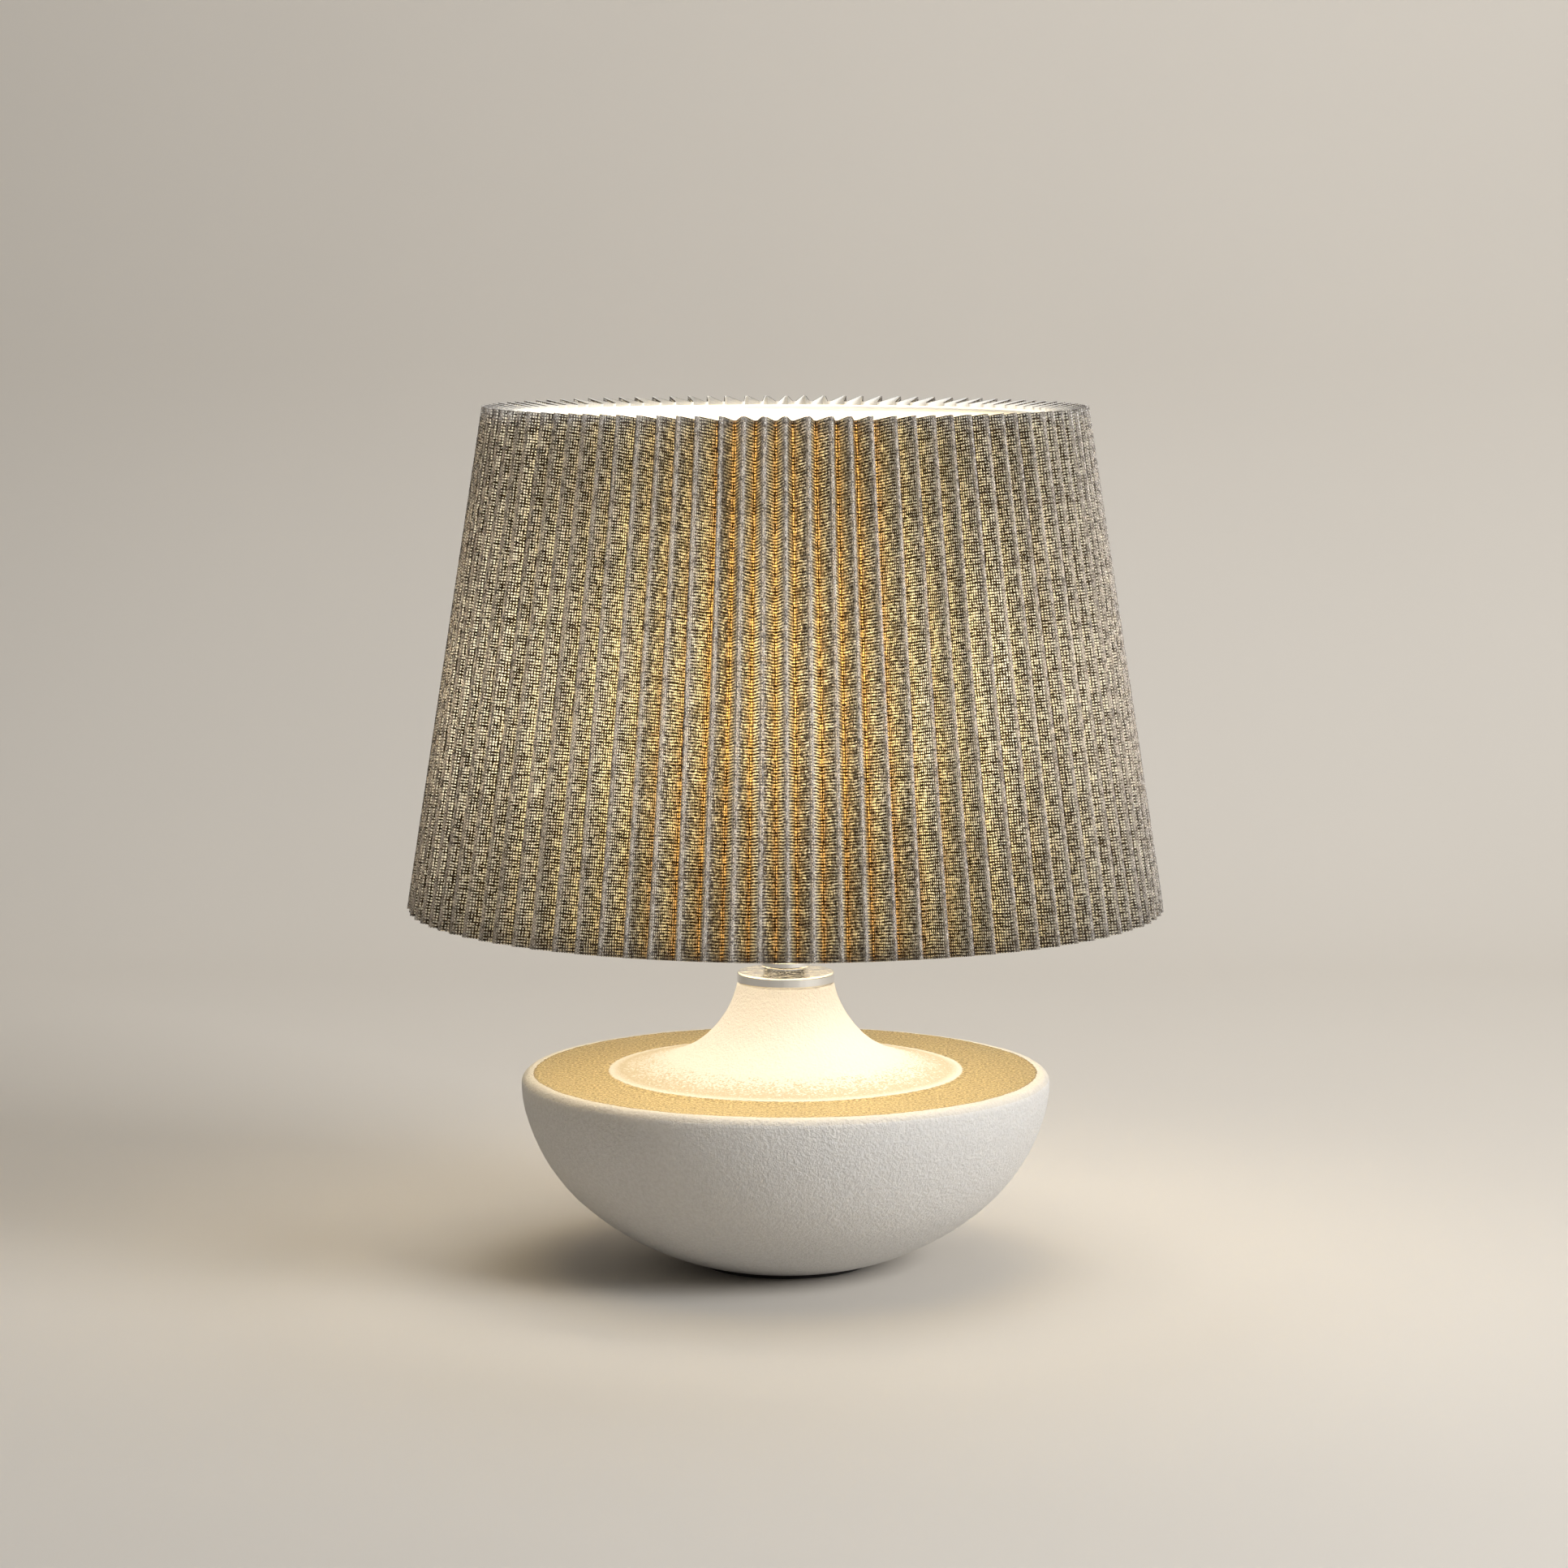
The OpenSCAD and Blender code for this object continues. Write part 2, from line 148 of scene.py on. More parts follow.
def make_lights():
    area_light("key_right", (2.3, -1.4, 1.5), 1.4, 77, (0.95, 0.97, 1.0))
    area_light("fill_left", (-2.4, -1.2, 1.3), 1.8, 1.5, (1.0, 0.95, 0.88))
    area_light("top_soft", (0.2, 0.5, 2.6), 1.8, 31, (1.0, 0.98, 0.95))
    world = bpy.data.worlds.new("studio")
    world.use_nodes = True
    background = world.node_tree.nodes["Background"]
    background.inputs["Color"].default_value = (0.86, 0.85, 0.83, 1)
    background.inputs["Strength"].default_value = 0.09
    bpy.context.scene.world = world


def one_sided_paper():
    """Pale paper, opaque on the lamp's side only, so that it doesn't hide the lamp from behind or below."""
    material = plain_paint("studio_paper", (0.69, 0.645, 0.58), 0.9)
    tree = material.node_tree
    output = next(node for node in tree.nodes if node.type == "OUTPUT_MATERIAL")
    paper = output.inputs["Surface"].links[0].from_socket
    clear = put(tree, "ShaderNodeBsdfTransparent")
    back = put(tree, "ShaderNodeNewGeometry").outputs["Backfacing"]
    both = put(tree, "ShaderNodeMixShader", {0: back, 1: paper, 2: clear.outputs[0]})
    tree.links.new(both.outputs[0], output.inputs["Surface"])
    return material


def make_floor():
    """A pale sweep: flat floor, a wide curve and an upright back."""
    depth_front, depth_back, bend = 4.0, 1.6, 0.5
    height, half_width = 3.2, 5.0
    outline = [(-depth_front, 0.0), (depth_back - bend, 0.0)]
    for i in range(1, 17):
        a = math.pi / 2 * i / 16
        outline.append((depth_back - bend + bend * math.sin(a), bend - bend * math.cos(a)))
    outline.append((depth_back, height))
    verts = [(x, y, z) for y, z in outline for x in (-half_width, half_width)]
    faces = [(2 * i, 2 * i + 1, 2 * i + 3, 2 * i + 2) for i in range(len(outline) - 1)]
    floor = mesh_piece("floor_sweep", verts, faces, one_sided_paper())


# ---------------------------------------------------------------- node and mesh helpers


def new_material(name):
    """An empty node material: (material, node tree, output node)."""
    material = bpy.data.materials.new(name)
    material.use_nodes = True
    tree = material.node_tree
    tree.nodes.clear()
    output = tree.nodes.new("ShaderNodeOutputMaterial")
    return material, tree, output


def put(tree, kind, inputs=None, **settings):
    """Adds a node. inputs maps socket names or numbers to values or to other nodes' sockets."""
    made = tree.nodes.new(kind)
    for key, value in settings.items():
        setattr(made, key, value)
    for key, value in (inputs or {}).items():
        socket = made.inputs[key]
        if isinstance(value, bpy.types.NodeSocket):
            tree.links.new(value, socket)
        else:
            socket.default_value = value
    return made


def calc(tree, operation, a, b=0.0, c=0.0, clamp=False):
    """One Math node; returns its output socket."""
    made = put(tree, "ShaderNodeMath", {0: a, 1: b, 2: c}, operation=operation, use_clamp=clamp)
    return made.outputs[0]


def remap(tree, value, low, high, to_low=0.0, to_high=1.0, smooth=False):
    """Maps value from low..high to to_low..to_high, clamped."""
    kind = "SMOOTHSTEP" if smooth else "LINEAR"
    made = put(
        tree,
        "ShaderNodeMapRange",
        {"Value": value, "From Min": low, "From Max": high, "To Min": to_low, "To Max": to_high},
        interpolation_type=kind,
    )
    return made.outputs["Result"]


def blend_colour(tree, factor, a, b, mode="MIX"):
    """Mixes two colours by factor."""
    made = put(tree, "ShaderNodeMix", data_type="RGBA", blend_type=mode)
    colour_sockets = [s for s in made.inputs if s.type == "RGBA"]
    for socket, value in ((made.inputs["Factor"], factor), (colour_sockets[0], a), (colour_sockets[1], b)):
        if isinstance(value, bpy.types.NodeSocket):
            tree.links.new(value, socket)
        elif isinstance(value, tuple):
            socket.default_value = (*value, 1.0)
        else:
            socket.default_value = value
    return next(s for s in made.outputs if s.type == "RGBA")


def noise(tree, vector, scale, detail=2.0, roughness=0.5):
    """A noise texture's value, about 0 to 1."""
    made = put(
        tree,
        "ShaderNodeTexNoise",
        {"Vector": vector, "Scale": scale, "Detail": detail, "Roughness": roughness},
        noise_dimensions="3D",
    )
    return made.outputs[0]


def object_place(tree):
    """Position in the object's own frame, which is the CAD frame at rest."""
    return put(tree, "ShaderNodeTexCoord").outputs["Object"]


def plain_paint(name, colour, roughness):
    """An even surface with a faint mottling, for the studio sweep."""
    material, tree, output = new_material(name)
    mottle = noise(tree, object_place(tree), 3.0)
    tone = blend_colour(tree, remap(tree, mottle, 0.3, 0.7), tuple(c * 0.985 for c in colour), colour)
    shader = put(tree, "ShaderNodeBsdfPrincipled", {"Base Color": tone, "Roughness": roughness})
    tree.links.new(shader.outputs[0], output.inputs["Surface"])
    return material


def mesh_piece(name, verts, faces, material):
    """A smooth-shaded mesh object in the scene."""
    data = bpy.data.meshes.new(name)
    data.from_pydata(verts, [], faces)
    data.validate()
    data.materials.append(material)
    for polygon in data.polygons:
        polygon.use_smooth = True
    piece = bpy.data.objects.new(name, data)
    bpy.context.scene.collection.objects.link(piece)
    return piece


def dress(node, material):
    """Gives a CAD node a better material."""
    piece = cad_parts[node]
    piece.data.materials.clear()
    piece.data.materials.append(material)


# ---------------------------------------------------------------- materials


def weave_pattern(tree):
    """Coarse plain weave of round slubby yarns, from UVs in metres on the flat cloth.

    Returns whether a yarn covers the point, the yarn's height and its own tone."""
    uv = put(tree, "ShaderNodeUVMap", uv_map="UVMap").outputs[0]
    wander = put(
        tree, "ShaderNodeTexNoise", {"Vector": uv, "Scale": 90.0, "Detail": 1.0}, noise_dimensions="2D"
    )
    shift = put(
        tree,
        "ShaderNodeVectorMath",
        {0: wander.outputs["Color"], 1: (0.5, 0.5, 0.5)},
        operation="SUBTRACT",
    )
    stray = put(tree, "ShaderNodeVectorMath", {0: shift.outputs[0], "Scale": YARN_STRAY}, operation="SCALE")
    place = put(tree, "ShaderNodeVectorMath", {0: uv, 1: stray.outputs[0]}, operation="ADD")
    counted = put(
        tree, "ShaderNodeVectorMath", {0: place.outputs[0], "Scale": 1 / WEAVE_PITCH}, operation="SCALE"
    )
    split = put(tree, "ShaderNodeSeparateXYZ", {0: counted.outputs[0]})
    across, along = split.outputs[0], split.outputs[1]

    def yarn(own, other, seed, thin, thick):
        """Distance from the yarn's middle as a share of its half width, and its own tone."""
        index = calc(tree, "FLOOR", own)
        where = put(
            tree,
            "ShaderNodeCombineXYZ",
            {0: calc(tree, "MULTIPLY", index, 3.7), 1: calc(tree, "MULTIPLY", other, 0.35), 2: seed},
        )
        slub = noise(tree, where.outputs[0], 1.0, 2.0, 0.6)
        number = calc(tree, "ADD", index, seed)
        tone = put(tree, "ShaderNodeTexWhiteNoise", {"W": number}, noise_dimensions="1D")
        build = calc(tree, "MULTIPLY_ADD", tone.outputs[0], 0.3, 0.85)
        half_width = calc(tree, "MULTIPLY", remap(tree, slub, 0.38, 0.62, thin, thick), build)
        from_middle = calc(tree, "ABSOLUTE", calc(tree, "SUBTRACT", calc(tree, "FRACT", own), 0.5))
        return calc(tree, "DIVIDE", from_middle, half_width), tone.outputs[0]

    warp, warp_tone = yarn(across, along, 11.0, *WARP_HALF_WIDTHS)
    weft, weft_tone = yarn(along, across, 47.0, *WEFT_HALF_WIDTHS)

    in_warp = calc(tree, "LESS_THAN", warp, 1.0)
    in_weft = calc(tree, "LESS_THAN", weft, 1.0)
    covered = calc(tree, "MAXIMUM", in_warp, in_weft)

    # Over and under: positive where the warp yarn lies on top
    wave = calc(
        tree,
        "MULTIPLY",
        calc(tree, "SINE", calc(tree, "MULTIPLY", across, math.pi)),
        calc(tree, "SINE", calc(tree, "MULTIPLY", along, math.pi)),
    )

    def crown(share, inside, lift):
        """Height of a round yarn that rises and falls with lift, 0 outside the yarn."""
        squared = calc(tree, "MULTIPLY", share, share)
        round_top = calc(tree, "SQRT", calc(tree, "SUBTRACT", 1.0, squared, clamp=True))
        raised = calc(tree, "MULTIPLY_ADD", lift, 0.35, calc(tree, "MULTIPLY_ADD", round_top, 0.5, 0.4))
        return calc(tree, "MULTIPLY", raised, inside)

    warp_height = crown(warp, in_warp, wave)
    weft_height = crown(weft, in_weft, calc(tree, "MULTIPLY", wave, -1.0))
    height = calc(tree, "MAXIMUM", warp_height, weft_height)
    warp_on_top = calc(tree, "GREATER_THAN", warp_height, weft_height)

    tone = put(tree, "ShaderNodeMix", {0: warp_on_top, 2: weft_tone, 3: warp_tone}, data_type="FLOAT")
    return covered, height, tone.outputs[0]


def open_weave():
    """Dark yarns with real holes between them, darkened by painted shade where they sink, and made
    pale along the tips of the pleats by painted highlight and wear.
    """
    material, tree, output = new_material("open_weave")
    covered, height, tone = weave_pattern(tree)
    yarn_colour = blend_colour(tree, tone, (0.016, 0.010, 0.006), (0.085, 0.056, 0.034))
    flecks = noise(tree, object_place(tree), 620.0, 1.0)
    yarn_colour = blend_colour(tree, remap(tree, flecks, 0.54, 0.64), yarn_colour, (0.40, 0.36, 0.31))
    # Painted shade: the yarn colour darkens where the yarns sink, at their edges and at the crossings
    depth_shade = remap(tree, height, 0.35, 1.15, 0.25, 1.0)
    dark = put(tree, "ShaderNodeCombineXYZ", {0: depth_shade, 1: depth_shade, 2: depth_shade}).outputs[0]
    yarn_colour = blend_colour(tree, 1.0, yarn_colour, dark, "MULTIPLY")
    # Painted highlight and wear: the tops of the yarns turn pale along the pleat tips, in patches
    patchy = remap(tree, noise(tree, object_place(tree), 300.0, 2.0), 0.42, 0.58, 0.3, 1.0)
    on_top = remap(tree, height, 0.6, 1.05, 0.25, 1.0)
    near_tip = remap(tree, fold_height(tree), 0.85, 0.97, 0.0, 0.95)
    tip_highlight_and_wear = calc(tree, "MULTIPLY", near_tip, calc(tree, "MULTIPLY", patchy, on_top))
    yarn_colour = blend_colour(tree, tip_highlight_and_wear, yarn_colour, (0.92, 0.86, 0.79))
    glow_colour = blend_colour(tree, tone, (0.35, 0.22, 0.09), (0.70, 0.53, 0.28))

    bump = put(tree, "ShaderNodeBump", {"Height": height, "Distance": 0.45 * MM, "Strength": 0.9})
    front = put(
        tree,
        "ShaderNodeBsdfPrincipled",
        {
            "Base Color": yarn_colour,
            "Roughness": 0.85,
            "Specular IOR Level": 0.2,
            "Sheen Weight": 0.15,
            "Normal": bump.outputs[0],
        },
    )
    through = put(
        tree,
        "ShaderNodeBsdfTranslucent",
        {"Color": glow_colour, "Normal": bump.outputs[0]},
    )
    cloth = put(tree, "ShaderNodeMixShader", {0: YARN_PASSES, 1: front.outputs[0], 2: through.outputs[0]})
    hole = put(tree, "ShaderNodeBsdfTransparent")
    whole = put(tree, "ShaderNodeMixShader", {0: covered, 1: hole.outputs[0], 2: cloth.outputs[0]})
    tree.links.new(whole.outputs[0], output.inputs["Surface"])
    return material


def fold_height(tree):
    """Where a point lies in its pleat: 0 at the valley, 1 at the tip."""
    return put(tree, "ShaderNodeAttribute", attribute_name="fold_height").outputs["Fac"]


def seen_outside(tree):
    """1 on the side of a sheet that faces away from the lamp's axis, 0 on the other side."""
    flat = put(tree, "ShaderNodeVectorMath", {0: object_place(tree), 1: (1, 1, 0)}, operation="MULTIPLY")
    facing = put(tree, "ShaderNodeTexCoord").outputs["Normal"]
    outward = put(tree, "ShaderNodeVectorMath", {0: facing, 1: flat.outputs[0]}, operation="DOT_PRODUCT")
    return calc(tree, "GREATER_THAN", outward.outputs["Value"], 0.0)


def cloth_backing():
    """Smooth white backing bonded to the weave. It glows through the holes in painted light and shade.

    The light it passes is painted golden down in the valleys, near white on the faces and dim at the
    tips, and darkened in the weave's pattern by a painted shadow of the yarns. Above the liner its
    inner side is bare to the light, and is made to send more of it back: a painted lightening there."""
    material, tree, output = new_material("cloth_backing")
    cloudy = noise(tree, object_place(tree), 60.0, 3.0)
    tone = blend_colour(tree, remap(tree, cloudy, 0.3, 0.7), (0.90, 0.87, 0.81), (0.95, 0.92, 0.87))
    front = put(
        tree, "ShaderNodeBsdfPrincipled", {"Base Color": tone, "Roughness": 0.7, "Specular IOR Level": 0.25}
    )
    up = fold_height(tree)
    # Painted light: golden deep in the valleys, near white on the faces
    glow = blend_colour(tree, remap(tree, up, 0.0, 0.42), (0.34, 0.18, 0.045), (1.0, 0.86, 0.52))
    glow = blend_colour(tree, remap(tree, up, 0.42, 0.85), glow, (1.0, 0.98, 0.90))
    # Painted shade at the tips of the pleats
    glow = blend_colour(tree, remap(tree, up, 0.87, 0.96), glow, (0.42, 0.37, 0.32))
    # Painted shadow of the yarns: the weave's pattern darkens the light that passes
    covered = weave_pattern(tree)[0]
    glow = blend_colour(tree, calc(tree, "MULTIPLY", covered, 0.88), glow, (0.10, 0.06, 0.025))
    through = put(tree, "ShaderNodeBsdfTranslucent", {"Color": glow})
    # Painted lightening: near the rim the inner side passes less light and reflects more
    height = put(tree, "ShaderNodeSeparateXYZ", {0: object_place(tree)}).outputs[2]
    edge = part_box("pleated_cover")[1].z
    rim = remap(tree, height, edge - 16 * MM, edge - 6 * MM, BACKING_PASSES, BACKING_RIM_PASSES)
    passed = remap(tree, seen_outside(tree), 0.0, 1.0, rim, BACKING_PASSES)
    both = put(tree, "ShaderNodeMixShader", {0: passed, 1: front.outputs[0], 2: through.outputs[0]})
    tree.links.new(both.outputs[0], output.inputs["Surface"])
    return material


def lit_liner():
    """Thin white liner with a painted glow: emission stands in for light scattered again and again inside
    the shade, strongest around the bulb's crown and far stronger on its outer face than its inner one."""
    material, tree, output = new_material("lit_liner")
    place = object_place(tree)
    cloudy = noise(tree, place, 25.0, 3.0)
    tone = blend_colour(tree, remap(tree, cloudy, 0.3, 0.7), (0.93, 0.88, 0.78), (0.96, 0.92, 0.83))
    height = put(tree, "ShaderNodeSeparateXYZ", {0: place}).outputs[2]
    foot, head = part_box("shade_liner")
    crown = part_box("bulb_glass")[1].z
    # Painted glow: brightest at the bulb's crown, weaker towards the liner's foot and top
    rising = remap(tree, height, foot.z, crown, 0.42, 1.0, smooth=True)
    fading = remap(tree, height, crown, head.z, 1.0, 0.66, smooth=True)
    # Painted glow mostly on the outer face, only a little on the inner face
    share = remap(tree, seen_outside(tree), 0.0, 1.0, LINER_GLOW_INSIDE, LINER_GLOW_OUTSIDE)
    strength = calc(tree, "MULTIPLY", calc(tree, "MULTIPLY", rising, fading), share)
    front = put(
        tree,
        "ShaderNodeBsdfPrincipled",
        {
            "Base Color": tone,
            "Roughness": 0.55,
            "Specular IOR Level": 0.3,
            "Emission Color": (1.0, 0.93, 0.77, 1),
            "Emission Strength": strength,
        },
    )
    through = put(tree, "ShaderNodeBsdfTranslucent", {"Color": tone})
    both = put(tree, "ShaderNodeMixShader", {0: LINER_PASSES, 1: front.outputs[0], 2: through.outputs[0]})
    tree.links.new(both.outputs[0], output.inputs["Surface"])
    return material


def lit_bulb():
    """Opal glass, lit from inside."""
    material, tree, output = new_material("opal_glass_lit")
    place = put(tree, "ShaderNodeSeparateXYZ", {0: object_place(tree)}).outputs[2]
    low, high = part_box("bulb_glass")
    middle = high.z - 0.5 * (high.x - low.x)
    glow = remap(tree, place, middle - 34 * MM, middle + 16 * MM, 0.03, 1.0, smooth=True)
    shader = put(
        tree,
        "ShaderNodeBsdfPrincipled",
        {
            "Base Color": (0.95, 0.93, 0.88, 1),
            "Roughness": 0.25,
            "Emission Color": (1.0, 0.865, 0.70, 1),
            "Emission Strength": calc(tree, "MULTIPLY", glow, BULB_STRENGTH),
        },
    )
    tree.links.new(shader.outputs[0], output.inputs["Surface"])
    return material


def sandy_ceramic():
    """White ceramic with a sandy coat, and a gold painted band with speckles on its flat top.

    A painted shadow darkens the band's outer edge, and painted glints dot the gold.
    """
    material, tree, output = new_material("sandy_ceramic")
    place = object_place(tree)
    axes = put(tree, "ShaderNodeSeparateXYZ", {0: place})
    x, y, z = axes.outputs
    radius = calc(tree, "SQRT", calc(tree, "ADD", calc(tree, "MULTIPLY", x, x), calc(tree, "MULTIPLY", y, y)))
    on_top = calc(tree, "GREATER_THAN", z, BASE_WIDE_Z + 0.4 * TOP_ROUND_R)

    # Hand-painted edges wander a little
    wander = noise(tree, place, 9.0, 3.0)
    ragged = noise(tree, place, 420.0, 2.0)
    outer = calc(tree, "MULTIPLY_ADD", calc(tree, "SUBTRACT", wander, 0.5), -5.0 * MM, radius)
    outer = calc(tree, "MULTIPLY_ADD", calc(tree, "SUBTRACT", ragged, 0.5), 2.2 * MM, outer)
    inner = calc(tree, "MULTIPLY_ADD", calc(tree, "SUBTRACT", ragged, 0.5), 3.0 * MM, radius)
    below_edge = remap(tree, outer, *BAND_OUTER_R, 1.0, 0.0)
    past_ring = remap(tree, inner, *BAND_INNER_R)
    band = calc(tree, "MULTIPLY", calc(tree, "MULTIPLY", below_edge, past_ring), on_top)
    # Painted shadow: a dark line along the band's outer edge, where the gold meets the white rim
    band_edge_shadow = calc(
        tree, "MULTIPLY", remap(tree, outer, *BAND_EDGE_SHADOW_R), calc(tree, "MULTIPLY", below_edge, on_top)
    )

    # Gold flakes that thin out towards the neck
    flakes = noise(tree, place, 620.0, 2.0, 0.7)
    patches = noise(tree, place, 120.0, 3.0, 0.6)
    thinning = remap(tree, radius, *SPECKLES_R)
    ring_gap = remap(tree, inner, *BARE_RING_R, 1.0, 0.25)
    chance = calc(tree, "MULTIPLY_ADD", calc(tree, "SUBTRACT", patches, 0.5), 0.5, thinning)
    speckle = calc(
        tree,
        "MULTIPLY",
        remap(tree, calc(tree, "MULTIPLY_ADD", chance, 0.30, flakes), 0.60, 0.68),
        calc(tree, "MULTIPLY", ring_gap, calc(tree, "MULTIPLY", on_top, remap(tree, thinning, 0.0, 0.15))),
    )

    sand = noise(tree, place, 520.0, 3.0, 0.65)
    grit = noise(tree, place, 1500.0, 2.0, 0.6)
    white = blend_colour(tree, remap(tree, sand, 0.35, 0.65), (0.70, 0.680, 0.650), (0.78, 0.765, 0.742))
    white = blend_colour(tree, remap(tree, radius, *NECK_WHITE_R, 1.0, 0.0), white, (0.83, 0.81, 0.82))
    gold = blend_colour(tree, remap(tree, flakes, 0.35, 0.68), (0.20, 0.14, 0.045), (0.74, 0.60, 0.31))
    # Painted glints: grains of the gold made pale, more of them towards the band's outer edge
    painted_glints = calc(
        tree, "MULTIPLY", remap(tree, grit, 0.66, 0.72), remap(tree, radius, *GLINTS_R, 0.25, 1.0)
    )
    gold = blend_colour(tree, painted_glints, gold, (1.0, 0.92, 0.66))
    pale_gold = (0.50, 0.41, 0.24)
    colour = blend_colour(tree, calc(tree, "MULTIPLY", speckle, 0.75), white, pale_gold)
    colour = blend_colour(tree, band, colour, gold)
    # The painted shadow line along the band's outer edge
    colour = blend_colour(tree, calc(tree, "MULTIPLY", band_edge_shadow, 0.7), colour, (0.16, 0.11, 0.05))

    relief = calc(tree, "MULTIPLY_ADD", grit, 0.35, sand)
    bump = put(tree, "ShaderNodeBump", {"Height": relief, "Distance": 1.2 * MM, "Strength": 1.0})
    shader = put(
        tree,
        "ShaderNodeBsdfPrincipled",
        {
            "Base Color": colour,
            "Metallic": calc(tree, "MULTIPLY", band, 0.55),
            "Roughness": remap(tree, band, 0.0, 1.0, 0.62, 0.42),
            "Specular IOR Level": 0.4,
            "Normal": bump.outputs[0],
        },
    )
    tree.links.new(shader.outputs[0], output.inputs["Surface"])
    return material


def bright_metal(name, colour, roughness, brushed=0.0, ripple=0.0):
    """Plated or polished metal with faint turning marks and small smudges."""
    material, tree, output = new_material(name)
    place = object_place(tree)
    smudge = noise(tree, place, 60.0, 4.0)
    stretched = put(tree, "ShaderNodeMapping", {"Vector": place, "Scale": (40.0, 40.0, 2600.0)})
    marks = noise(tree, stretched.outputs[0], 1.0, 2.0)
    marked = calc(tree, "MULTIPLY_ADD", marks, brushed, roughness - 0.04)
    rough = calc(tree, "MULTIPLY_ADD", smudge, 0.08, marked)
    upright = put(tree, "ShaderNodeMapping", {"Vector": place, "Scale": (230.0, 230.0, 8.0)})
    waves = noise(tree, upright.outputs[0], 1.0, 2.0)
    uneven = put(tree, "ShaderNodeBump", {"Height": waves, "Distance": 0.35 * MM, "Strength": ripple})
    bump = put(
        tree,
        "ShaderNodeBump",
        {"Height": marks, "Distance": 0.02 * MM, "Strength": 0.02 + brushed, "Normal": uneven.outputs[0]},
    )
    shader = put(
        tree,
        "ShaderNodeBsdfPrincipled",
        {"Base Color": (*colour, 1), "Metallic": 1.0, "Roughness": rough, "Normal": bump.outputs[0]},
    )
    tree.links.new(shader.outputs[0], output.inputs["Surface"])
    return material


def moulded(name, colour, roughness, grain=0.15):
    """Moulded plastic, rubber, porcelain or enamel with a fine surface."""
    material, tree, output = new_material(name)
    place = object_place(tree)
    fine = noise(tree, place, 900.0, 2.0)
    broad = noise(tree, place, 30.0, 3.0)
    darker = tuple(c * 0.9 for c in colour)
    tone = blend_colour(tree, remap(tree, broad, 0.3, 0.7), darker, colour)
    bump = put(tree, "ShaderNodeBump", {"Height": fine, "Distance": 0.05 * MM, "Strength": grain})
    rough = calc(tree, "MULTIPLY_ADD", broad, 0.12, roughness - 0.06)
    shader = put(
        tree, "ShaderNodeBsdfPrincipled", {"Base Color": tone, "Roughness": rough, "Normal": bump.outputs[0]}
    )
    tree.links.new(shader.outputs[0], output.inputs["Surface"])
    return material


# ---------------------------------------------------------------- ceramic base


def falling(deg):
    """Unit direction below level, as (radius, height)."""
    return np.array([math.cos(math.radians(deg)), -math.sin(math.radians(deg))])


def arc_points(centre, r, from_deg, to_deg, step, hollow=False):
    """Points on an arc of the outline, about step apart. A hollow arc has its centre outside the body."""
    length = abs(math.radians(to_deg - from_deg)) * r
    count = max(2, math.ceil(length / step))
    points = []
    for i in range(count + 1):
        a = from_deg + (to_deg - from_deg) * i / count
        out = -np.array([math.cos(math.radians(a)), math.sin(math.radians(a))]) if hollow else falling(a)
        points.append(centre + r * out)
    return points


def base_outline(inset, end_z, step):
    """The base's side from the neck's rim down to end_z, moved in by inset."""
    shoulder = np.array([BASE_R - SHOULDER_ARC_R, BASE_WIDE_Z])
    belly_deg = SHOULDER_ARC_DEG + BELLY_ARC_DEG
    belly = shoulder + (SHOULDER_ARC_R - BELLY_ARC_R) * falling(SHOULDER_ARC_DEG)
    foot = belly + (BELLY_ARC_R - FOOT_ARC_R) * falling(belly_deg)
    lean, flare_deg = math.radians(NECK_LEAN_DEG), math.radians(FLARE_START_DEG)
    neck = np.array([NECK_R + NECK_ARC_R * math.cos(lean), NECK_Z + NECK_ARC_R * math.sin(lean)])
    drop = neck[1] - NECK_ARC_R * math.sin(flare_deg) - BASE_WIDE_Z - TOP_ROUND_R
    flare_r = drop / (1 - math.sin(flare_deg))
    flare = neck + (flare_r - NECK_ARC_R) * np.array([math.cos(flare_deg), math.sin(flare_deg)])
    top_round = np.array([BASE_R - TOP_ROUND_R, BASE_WIDE_Z])
    rim_deg = math.degrees(math.asin(NECK_ARC_R * math.sin(lean) / (NECK_ARC_R + inset)))
    end_deg = math.degrees(math.asin((foot[1] - end_z) / (FOOT_ARC_R - inset)))
    flat_from = flare + (flare_r + inset) * np.array([0.0, -1.0])
    flat_to = top_round + (TOP_ROUND_R - inset) * np.array([0.0, 1.0])
    flat_count = max(2, math.ceil((flat_to[0] - flat_from[0]) / step))
    flat = [flat_from + (flat_to - flat_from) * i / flat_count for i in range(1, flat_count)]
    runs = [
        arc_points(neck, NECK_ARC_R + inset, rim_deg, FLARE_START_DEG, step, hollow=True),
        arc_points(flare, flare_r + inset, FLARE_START_DEG, 90, step, hollow=True),
        flat,
        arc_points(top_round, TOP_ROUND_R - inset, -90, 0, min(step, 1 * MM)),
        arc_points(shoulder, SHOULDER_ARC_R - inset, 0, SHOULDER_ARC_DEG, step),
        arc_points(belly, BELLY_ARC_R - inset, SHOULDER_ARC_DEG, belly_deg, step),
        arc_points(foot, FOOT_ARC_R - inset, belly_deg, end_deg, step),
    ]
    outline = []
    for run in runs:
        for point in run:
            if not outline or np.linalg.norm(point - outline[-1]) > 0.05 * MM:
                outline.append(point)
    return outline, foot


def lathe(outline, segments):
    """Vertices and faces of an outline of (radius, height) points turned about Z, closed on itself."""
    verts, faces = [], []
    for r, z in outline:
        for s in range(segments):
            a = 2 * math.pi * s / segments
            verts.append((r * math.cos(a), r * math.sin(a), z))
    rows = len(outline)
    for i in range(rows):
        j = (i + 1) % rows
        for s in range(segments):
            t = (s + 1) % segments
            faces.append((i * segments + s, j * segments + s, j * segments + t, i * segments + t))
    return verts, faces


